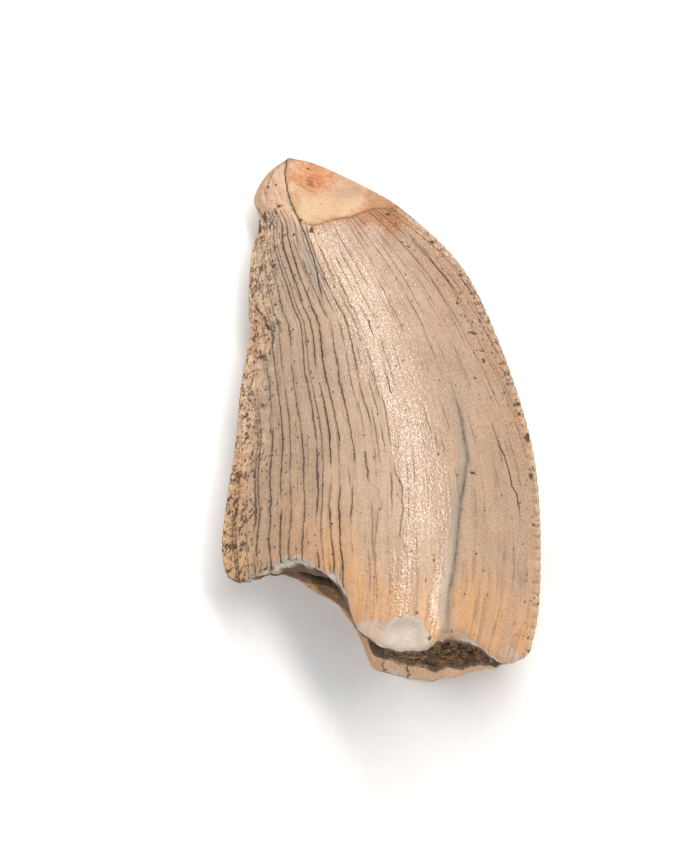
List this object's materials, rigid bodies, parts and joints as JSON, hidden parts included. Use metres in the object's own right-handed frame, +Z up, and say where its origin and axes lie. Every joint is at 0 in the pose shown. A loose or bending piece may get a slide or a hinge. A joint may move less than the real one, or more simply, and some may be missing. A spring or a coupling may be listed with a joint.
{
  "type": "fossil abelisaur tooth",
  "caption": "Fossil tooth crown of an abelisaurid dinosaur: a curved, flattened blade with serrated edges, a worn tip and a broken hollow base that holds sediment.",
  "frame": {"origin": "on the surface that the tooth lies on, under the centre of its bounding box", "axes": "+Y towards the tip of the crown, +X towards the convex mesial edge, +Z up out of the labial face; the tooth lies on its lingual face"},
  "size_m": [0.014, 0.0238, 0.0062],
  "materials": {
    "fossil_enamel": "semi-gloss tan enamel with fine grey lengthwise cracks, paler at the worn tip",
    "sediment": "dull, grainy brown"
  },
  "bodies": {
    "root": {"tooth_crown": "fossil_enamel", "sediment_fill": "sediment"}
  },
  "joints": []
}
